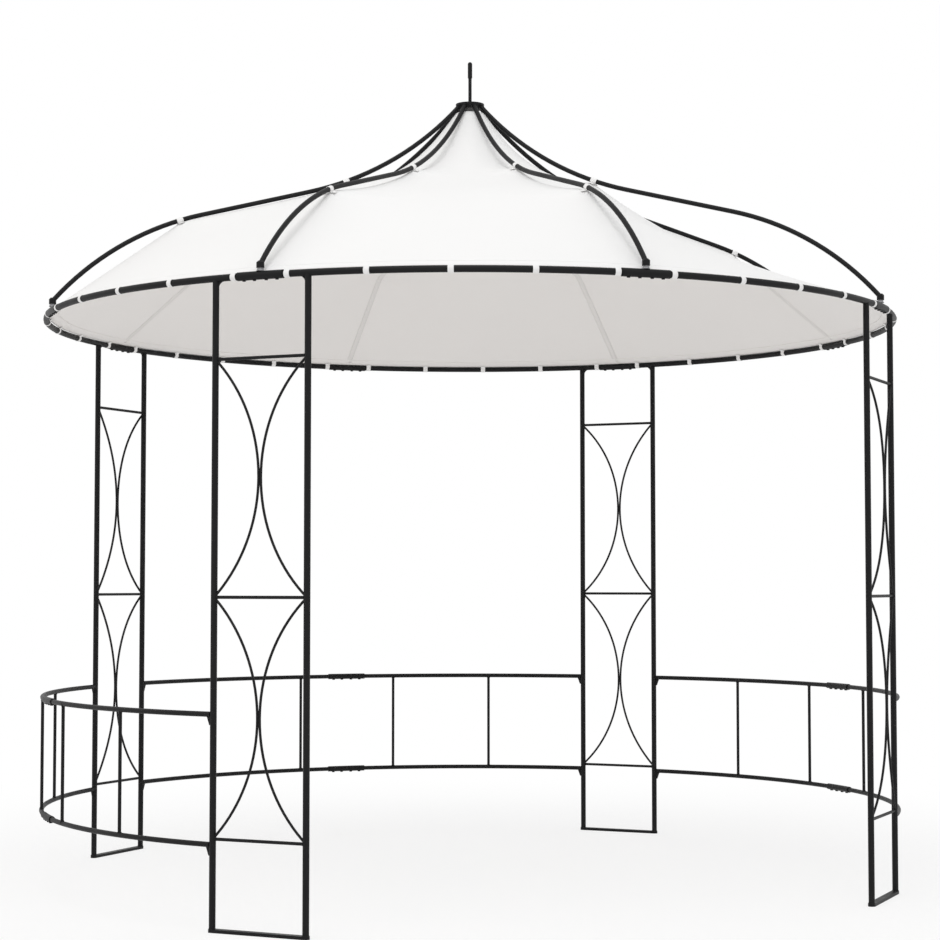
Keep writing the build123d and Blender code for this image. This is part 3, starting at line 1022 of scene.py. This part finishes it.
class GAZEBO_OT_hang_canopy(bpy.types.Operator):
    """Hang the cover under the ribs as one sheet, with its seams and hem"""

    bl_idname = "gazebo.hang_canopy"
    bl_label = "Hang Canopy"

    def execute(self, context):
        settings = context.scene.gazebo_canopy
        cloth = finish("canopy_polyester", woven)
        lining = finish("canopy_lining", woven)
        reaches = [CLOTH_REACH * row / settings.rows for row in range(settings.rows + 1)]
        cover = place_piece("canopy_cover", self.cover_mesh(settings, reaches), cloth)
        thicken(cover, settings.cloth_thickness, lining)
        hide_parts("canopy")
        # Seam tape: the lining colour darkened a little, as painted shade
        tape = finish("seam_tape", woven)
        seams = place_piece("canopy_seam_tapes", self.seam_mesh(settings, reaches), tape)
        thicken(seams, settings.tape_thickness / 2)
        hem = place_piece("canopy_hem", self.hem_mesh(settings), cloth)
        hem.data.materials.append(lining)
        for polygon in hem.data.polygons[HEM_COLUMNS * (HEM_ROWS + 1):]:
            polygon.material_index = 1
        return {"FINISHED"}

    def cover_mesh(self, settings, reaches):
        """One closed round of gores, closer meshed at the seams and mapped gore by gore in metres."""
        columns = settings.columns * RIBS
        shares = [column / settings.columns for column in range(columns + 1)]
        azimuths = [GORE_ANGLE * (share - SEAM_CROWDING * sin(2 * pi * share)) for share in shares]

        def gore_chart(grid, row, column, corner_row, corner_column):
            middle = (column // settings.columns + 0.5) * GORE_ANGLE
            radius = grid[corner_row][corner_column % columns].xy.length
            return radians(azimuths[corner_column] - middle) * radius, reaches[corner_row]

        grid = [[cloth_point(azimuth, reach) for azimuth in azimuths[:-1]] for reach in reaches]
        return grid_mesh("canopy_cover", [grid], gore_chart, join_columns=True)

    def seam_mesh(self, settings, reaches):
        """Tapes on the underside of the eight seams, from the neck to under the hem."""
        low = CLOTH_REACH - settings.hem_width * SEAM_TAPE_END
        lift = -settings.cloth_thickness - SEAM_TAPE_GAP
        rows = [reach for reach in reaches if SEAM_TAPE_START < reach < low]
        asides = [place * settings.seam_width / 2 for place in SEAM_TAPE_PLACES]
        grids = []
        for seam in range(RIBS):
            grid = []
            for reach in (SEAM_TAPE_START, *rows, low):
                azimuths = [beside_seam(seam, reach, aside) for aside in asides]
                grid.append([off_cloth(azimuth, reach, lift) for azimuth in azimuths])
            grids.append(grid)
        return grid_mesh("canopy_seam_tapes", grids)

    def hem_mesh(self, settings):
        """Hem turned over both faces of the cover's edge and closed, its outer rows of faces first."""
        start = CLOTH_REACH - settings.hem_width
        reaches = [start + settings.hem_width * step / HEM_ROWS for step in range(HEM_ROWS + 1)]
        skin = settings.tape_thickness * HEM_SKIN
        sweep = [(start, -settings.cloth_thickness / 2)]
        sweep += [(reach, skin) for reach in reaches]
        sweep += [(reach, -settings.cloth_thickness - skin) for reach in reversed(reaches)]
        azimuths = [360.0 * step / HEM_COLUMNS for step in range(HEM_COLUMNS)]
        grid = [[off_cloth(azimuth, reach, lift) for azimuth in azimuths] for reach, lift in sweep]
        return grid_mesh("canopy_hem", [grid], join_rows=True, join_columns=True)


class GAZEBO_OT_sew_canopy(bpy.types.Operator):
    """Sew the seams and the hem with rows of stitches"""

    bl_idname = "gazebo.sew_canopy"
    bl_label = "Sew Canopy"

    def execute(self, context):
        settings = context.scene.gazebo_canopy
        sink = -settings.cloth_thickness / 2
        inset = settings.seam_width * SEAM_STITCH_PLACE
        steps = range(STITCH_END_STEPS, STITCH_STEPS - STITCH_END_STEPS + 1)
        reaches = [CLOTH_REACH * step / STITCH_STEPS for step in steps]
        lines = []
        for seam in range(RIBS):
            for aside in (-inset, inset):
                lines.append([off_cloth(beside_seam(seam, reach, aside), reach, sink) for reach in reaches])
        azimuths = [360.0 * step / HEM_COLUMNS for step in range(HEM_COLUMNS + 1)]
        for share in HEM_STITCH_PLACES:
            reach = CLOTH_REACH - settings.hem_width * share
            lines.append([off_cloth(azimuth, reach, sink) for azimuth in azimuths])
        points, edges = [], []
        for line in lines:
            edges += [(step, step + 1) for step in range(len(points), len(points) + len(line) - 1)]
            points += line
        sizes = {
            "Pitch": settings.stitch_pitch,
            "Length": settings.stitch_pitch * STITCH_SHARE,
            "Thickness": THREAD_WIDTH,
            "Depth": STITCH_DEPTH,
        }
        tape = finish("tie_tape", woven)
        thread = grow("canopy_stitches", stitch_tree(), points, sizes, tape, "canopy", edges=edges)
        face_chart(thread.data)
        return {"FINISHED"}


class GAZEBO_OT_tie_canopy(bpy.types.Operator):
    """Tie the cover to the ring and the ribs with loops of tape"""

    bl_idname = "gazebo.tie_canopy"
    bl_label = "Tie Canopy"

    def execute(self, context):
        settings = context.scene.gazebo_canopy
        tape = finish("tie_tape", woven)
        tree = tie_tree()
        half = settings.tape_thickness / 2
        azimuths = [azimuth + angle for azimuth in RIB_AZIMUTHS for angle in RING_TIE_ANGLES]
        under = settings.cloth_thickness + settings.tape_thickness * TAIL_GAP
        edge = self.under_cover(azimuths, CLOTH_REACH, under)
        tail = self.under_cover(azimuths, CLOTH_REACH - settings.hem_width * TAIL_END, under)
        loop = RING_TUBE_RADIUS + CLEARANCE + half
        sizes = {
            "Loop Radius": loop,
            "Tape Width": settings.tape_width,
            "Tape Thickness": settings.tape_thickness,
            "Tail Start": (loop * cos(TAIL_LEAVES), loop * sin(TAIL_LEAVES), 0.0),
            "Tail Middle": (edge.x, edge.y - under, 0.0),
            "Tail End": (tail.x, tail.y, 0.0),
        }
        points = [polar(azimuth, RING_RADIUS, RING_HEIGHT) for azimuth in azimuths]
        axes = [tangent(azimuth) for azimuth in azimuths]
        ups = [UP] * len(points)
        ring_ties = grow("ring_ties", tree, points, sizes, tape, "canopy", axis=axes, up=ups)
        places = [(rib, distance) for rib in range(RIBS) for distance in (UPPER_TIES[rib], LOWER_TIE)]
        places.remove((SLACK_SEAM, LOWER_TIE))
        points, axes, ups = zip(*(rib_line.on_rib(*place) for place in places))
        loop = RIB_RADIUS + CLEARANCE + half
        tab = settings.tape_width * TAB_REACH
        sizes |= {
            "Loop Radius": loop,
            "Tape Width": settings.tape_width * RIB_TAPE_WIDTH,
            "Tail Start": (-tab, -loop - TAB_FALL, 0.0),
            "Tail Middle": (0.0, -loop + TAB_LIFT, 0.0),
            "Tail End": (tab, -loop - TAB_FALL, 0.0),
        }
        rib_ties = grow("rib_ties", tree, points, sizes, tape, "canopy", axis=axes, up=ups)
        for ties in (ring_ties, rib_ties):
            face_chart(ties.data)
        return {"FINISHED"}

    def under_cover(self, azimuths, reach, under):
        """Way in from the ring and up from it to just under the cover, at the lowest of its ties."""
        points = [cloth_point(azimuth, reach) for azimuth in azimuths]
        lowest = min(points, key=lambda point: point.z)
        return Vector((RING_RADIUS - lowest.xy.length, lowest.z - RING_HEIGHT - under))


class GAZEBO_OT_fit_fixings(bpy.types.Operator):
    """Fit the set screws of the sleeves and the nuts on the rib pins"""

    bl_idname = "gazebo.fit_fixings"
    bl_label = "Fit Fixings"

    def execute(self, context):
        settings = context.scene.gazebo_frame
        coat = finish("black_powder_coat", powder_coat)
        zinc = finish("plated_zinc", plated_zinc)
        tree = screw_tree()
        sleeves = [(azimuth, RING_HEIGHT, SLEEVE_RADIUS) for azimuth in RIB_AZIMUTHS]
        for bay in RAILED_BAYS:
            sleeves += [(bay, height, RAIL_SLEEVE_RADIUS) for height in RAIL_HEIGHTS]
        points, sides = [], []
        for azimuth, height, radius in sleeves:
            for along in SCREW_PLACES:
                place = azimuth + degrees(along / RING_RADIUS)
                points.append(polar(place, RING_RADIUS, height - radius + SCREW_SINK))
                sides.append(radial(place))
        sizes = {
            "Width": settings.screw_width,
            "Height": settings.screw_height,
            "Flange Radius": settings.screw_width * SCREW_FLANGE,
            "Flange Thickness": SCREW_FLANGE_THICKNESS,
        }
        axes = [-UP] * len(points)
        grow("sleeve_screws", tree, points, sizes, coat, "frame", axis=axes, up=sides)
        seat = RING_HEIGHT + SLEEVE_RADIUS
        points = [polar(azimuth, RING_RADIUS, seat) for azimuth in RIB_AZIMUTHS]
        sides = [radial(azimuth + NUT_TURN) for azimuth in RIB_AZIMUTHS]
        sizes = {
            "Width": settings.nut_width,
            "Height": RIB_CUP_LOW - seat - settings.washer_thickness,
            "Flange Radius": RIB_CUP_RADIUS,
            "Flange Thickness": settings.washer_thickness,
        }
        grow("rib_nuts", tree, points, sizes, zinc, "frame", axis=[UP] * len(points), up=sides)
        return {"FINISHED"}


class GAZEBO_OT_run_welds(bpy.types.Operator):
    """Run weld beads round the ends of the bars"""

    bl_idname = "gazebo.run_welds"
    bl_label = "Run Welds"

    def execute(self, context):
        sizes = {"Bead Radius": context.scene.gazebo_frame.bead_radius}
        coat = finish("black_powder_coat", powder_coat)
        points, axes, bars = zip(*self.pillar_beads(), *self.railing_beads(), *self.rib_beads())
        sides = [axis.orthogonal() for axis in axes]
        grow("weld_beads", bead_tree(), points, sizes, coat, "frame", axis=axes, up=sides, size=bars)
        return {"FINISHED"}

    def pillar_beads(self):
        """Beads on the posts' feet and the cross bars: each its place, the bar's way and radius."""
        for azimuth in PILLAR_AZIMUTHS:
            for side in (-1, 1):
                post = radial(azimuth + side * POST_ANGLE) * RING_RADIUS
                yield post + UP * FOOT_BAR_THICKNESS, UP, POST_RADIUS
                inward = tangent(azimuth) * -side
                for height in CROSS_BAR_HEIGHTS:
                    yield post + UP * height + inward * POST_RADIUS, inward, CROSS_BAR_RADIUS

    def railing_beads(self):
        """Beads at both ends of the balusters."""
        half_bay = 180.0 / BAYS - POST_ANGLE
        step = half_bay / (BALUSTERS_PER_HALF + 0.5)
        for bay in RAILED_BAYS:
            for side in (-1, 1):
                for index in range(BALUSTERS_PER_HALF):
                    foot = radial(bay + side * (index + 0.5) * step) * RING_RADIUS
                    for height, toward in zip(RAIL_HEIGHTS, (-1, 1)):
                        yield foot + UP * (height + toward * RAIL_RADIUS), UP, BALUSTER_RADIUS

    def rib_beads(self):
        """Beads at the ribs' top ends."""
        for rib in range(RIBS):
            point, along, _ = rib_line.on_rib(rib, 0.0)
            yield point, along, RIB_RADIUS


class GAZEBO_OT_set_stage(bpy.types.Operator):
    """Lay the floor, light it softly and set the camera"""

    bl_idname = "gazebo.set_stage"
    bl_label = "Set Stage"

    def execute(self, context):
        settings = context.scene.gazebo_stage
        context.scene.view_settings.view_transform = "Standard"
        self.lay_floor(context, settings)
        self.light_sky(context, settings)
        self.add_lamp(context, "soft_key", KEY_PLACE, KEY_SIZE, settings.key_power, WHITE)
        self.add_lamp(context, "warm_side", SIDE_PLACE, SIDE_SIZE, settings.side_power, SIDE_COLOUR)
        self.set_camera(context, settings)
        return {"FINISHED"}

    def seen_directly(self, tree):
        """1 for rays that show the background itself or its mirror image."""
        path = add_node(tree, "ShaderNodeLightPath")
        first = calc(tree, "MAXIMUM", path["Is Camera Ray"], path["Is Glossy Ray"])
        return calc(tree, "MAXIMUM", first, path["Is Transmission Ray"])

    def lay_floor(self, context, settings):
        """Pale floor that keeps the gazebo's soft shadow and fades to white."""
        mesh = bpy.data.meshes.new("studio_floor")
        build = bmesh.new()
        bmesh.ops.create_grid(build, x_segments=1, y_segments=1, size=FLOOR_SIZE)
        build.to_mesh(mesh)
        build.free()
        floor = bpy.data.objects.new("studio_floor", mesh)
        context.scene.collection.objects.link(floor)
        material, tree, shader, place = new_material("studio_floor")
        colour = (*settings.floor_colour, 1.0)
        give(tree, shader, {"Base Color": colour, "Roughness": 0.9, "Specular IOR Level": 0.0})
        white = flow(tree, "ShaderNodeEmission", {"Strength": 1.0})
        away = add_node(tree, "ShaderNodeVectorMath", {0: place}, operation="LENGTH")["Value"]
        levels = {"Value": away, **FLOOR_FADE}
        fade = flow(tree, "ShaderNodeMapRange", levels, interpolation_type="SMOOTHSTEP")
        shown = calc(tree, "MULTIPLY", fade, self.seen_directly(tree))
        blend = flow(tree, "ShaderNodeMixShader", {0: shown, 1: shader.outputs[0], 2: white})
        give(tree, tree.nodes["Material Output"], {"Surface": blend})
        mesh.materials.append(material)

    def light_sky(self, context, settings):
        """Even studio light that shows as plain white."""
        world = bpy.data.worlds.new("studio")
        context.scene.world = world
        world.use_nodes = True
        tree = world.node_tree
        light = tree.nodes["Background"]
        give(tree, light, {"Color": (*WHITE, 1.0), "Strength": settings.sky_strength})
        white = flow(tree, "ShaderNodeBackground", {"Color": (*WHITE, 1.0), "Strength": 1.0})
        inputs = {0: self.seen_directly(tree), 1: light.outputs[0], 2: white}
        give(tree, tree.nodes["World Output"], {"Surface": flow(tree, "ShaderNodeMixShader", inputs)})

    def add_lamp(self, context, name, place, size, power, colour):
        """Square area lamp aimed at the axis, at half the ring's height."""
        data = bpy.data.lights.new(name, "AREA")
        data.size = size
        data.energy = power
        data.color = colour
        lamp = bpy.data.objects.new(name, data)
        context.scene.collection.objects.link(lamp)
        lamp.location = place
        target = UP * RING_HEIGHT / 2
        lamp.rotation_euler = (target - lamp.location).to_track_quat("-Z", "Y").to_euler()

    def set_camera(self, context, settings):
        """Camera at the viewing angle of the photograph."""
        data = bpy.data.cameras.new("view_camera")
        data.sensor_width = SENSOR_WIDTH
        data.lens = settings.camera_lens
        camera = bpy.data.objects.new("view_camera", data)
        context.scene.collection.objects.link(camera)
        azimuth = degrees(settings.camera_azimuth)
        camera.location = polar(azimuth, settings.camera_distance, settings.camera_height)
        camera.rotation_euler = (radians(90.0) + settings.camera_pitch, 0.0, settings.camera_azimuth)
        context.scene.camera = camera


class GAZEBO_PT_tools(bpy.types.Panel):
    """Settings of the gazebo and the steps that dress it"""

    bl_idname = "GAZEBO_PT_tools"
    bl_label = "Gazebo"
    bl_space_type = "VIEW_3D"
    bl_region_type = "UI"
    bl_category = "Gazebo"

    def draw(self, context):
        for name in GROUPS:
            settings = getattr(context.scene, name)
            box = self.layout.box()
            for setting in settings.__annotations__:
                box.prop(settings, setting)
        for step in STEPS:
            self.layout.operator(step.bl_idname)


STEPS = (
    GAZEBO_OT_coat_frame,
    GAZEBO_OT_weld_pillars,
    GAZEBO_OT_hang_canopy,
    GAZEBO_OT_sew_canopy,
    GAZEBO_OT_tie_canopy,
    GAZEBO_OT_fit_fixings,
    GAZEBO_OT_run_welds,
    GAZEBO_OT_set_stage,
)
GROUPS = {
    "gazebo_frame": GazeboFrameSettings,
    "gazebo_canopy": GazeboCanopySettings,
    "gazebo_stage": GazeboStageSettings,
}


def register():
    for name, group in GROUPS.items():
        bpy.utils.register_class(group)
        setattr(bpy.types.Scene, name, PointerProperty(type=group))
    for step in STEPS:
        bpy.utils.register_class(step)
    bpy.utils.register_class(GAZEBO_PT_tools)


def unregister():
    bpy.utils.unregister_class(GAZEBO_PT_tools)
    for step in reversed(STEPS):
        bpy.utils.unregister_class(step)
    for name, group in reversed(GROUPS.items()):
        delattr(bpy.types.Scene, name)
        bpy.utils.unregister_class(group)


def main():
    """Dress the gazebo step by step."""
    register()
    bpy.ops.gazebo.coat_frame()
    bpy.ops.gazebo.weld_pillars()
    bpy.ops.gazebo.hang_canopy()
    bpy.ops.gazebo.sew_canopy()
    bpy.ops.gazebo.tie_canopy()
    bpy.ops.gazebo.fit_fixings()
    bpy.ops.gazebo.run_welds()
    bpy.ops.gazebo.set_stage()


if __name__ == "__main__":
    main()
